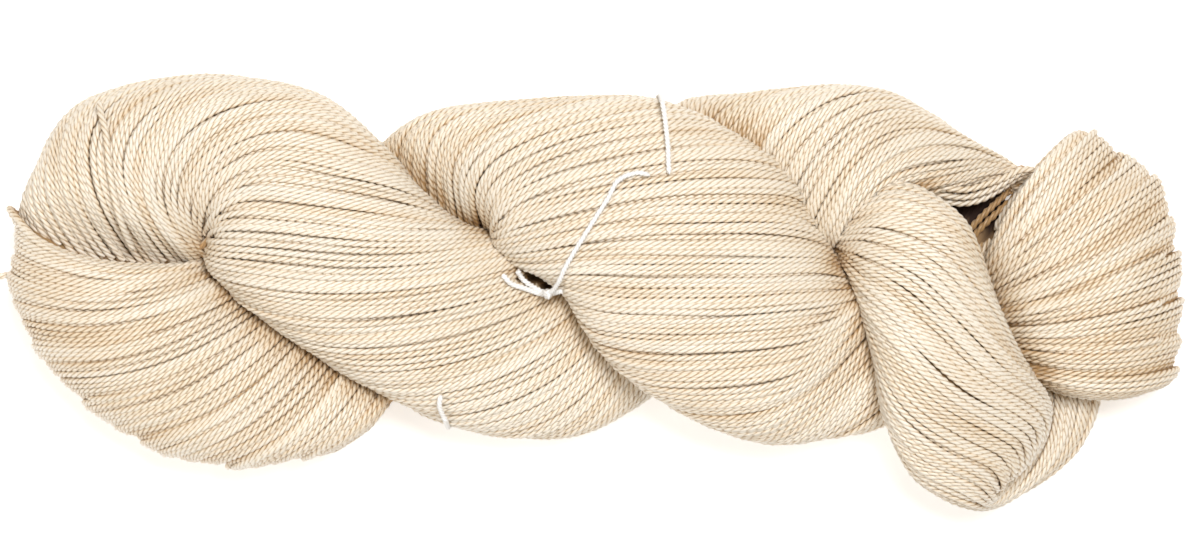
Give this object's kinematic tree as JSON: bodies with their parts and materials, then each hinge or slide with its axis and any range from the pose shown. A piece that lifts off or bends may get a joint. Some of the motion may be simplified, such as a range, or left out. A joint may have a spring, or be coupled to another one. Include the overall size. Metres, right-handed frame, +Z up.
{
  "type": "hank of silk yarn",
  "caption": "Twisted hank of cream silk yarn, folded back on itself with one end loop tucked through the other, held by white tie threads.",
  "frame": {"origin": "on the surface that the hank rests on, under the middle of the hank without its loose end", "axes": "+X along the hank from its folded end to its pulled-through loop, +Y across it towards the back, +Z up"},
  "size_m": [0.3106, 0.1083, 0.0577],
  "materials": {
    "silk_yarn": "plied silk, undyed cream, with a soft silvery sheen on each ply",
    "tie_thread": "white cotton thread, matt"
  },
  "bodies": {
    "root": {"hank": "silk_yarn", "loose_end": "silk_yarn", "upper_tie": "tie_thread", "knotted_tie": "tie_thread", "front_tie": "tie_thread"}
  },
  "joints": []
}
